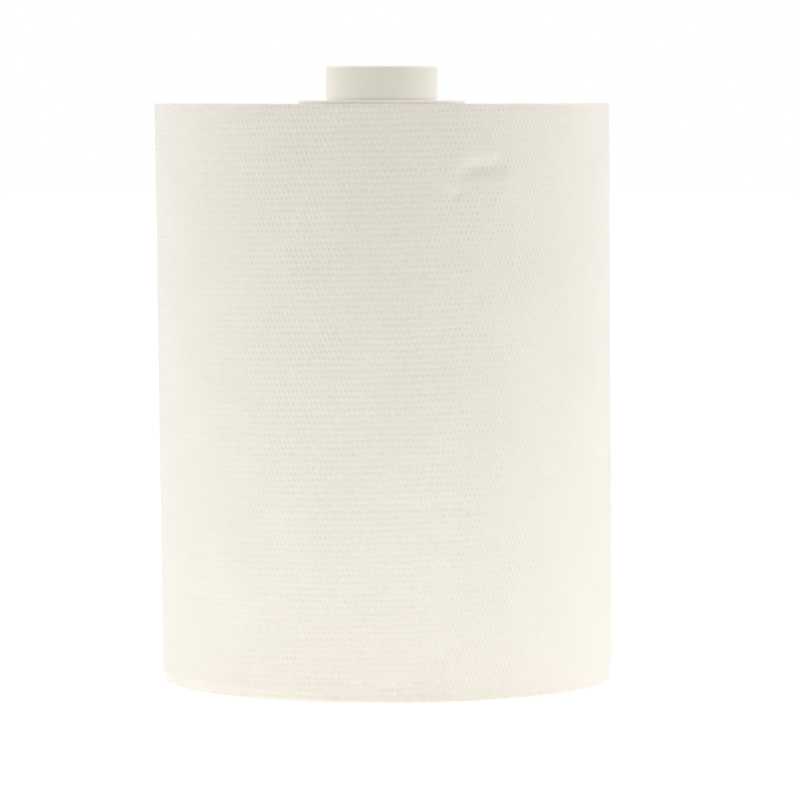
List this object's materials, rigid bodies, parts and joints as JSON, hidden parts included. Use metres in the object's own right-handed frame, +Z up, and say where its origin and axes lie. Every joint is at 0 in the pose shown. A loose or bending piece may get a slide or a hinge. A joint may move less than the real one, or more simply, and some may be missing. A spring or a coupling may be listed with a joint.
{
  "type": "paper hand towel roll",
  "caption": "Wound embossed paper hand towel roll on a cardboard core, standing on end, with a flanged plastic plug whose round stub turns in a dispenser.",
  "frame": {"origin": "centre of the roll's lower end face, on the surface that it stands on", "axes": "+Z up along the winding axis towards the plug, -Y towards the side that the picture shows, the web's loose end at the back on +Y"},
  "size_m": [0.1656, 0.1659, 0.2237],
  "materials": {
    "paper": "matte",
    "core_board": "matte",
    "plug_plastic": "satin"
  },
  "bodies": {
    "root": {"paper_roll": "paper", "core_tube": "core_board", "core_plug": "plug_plastic"}
  },
  "joints": []
}
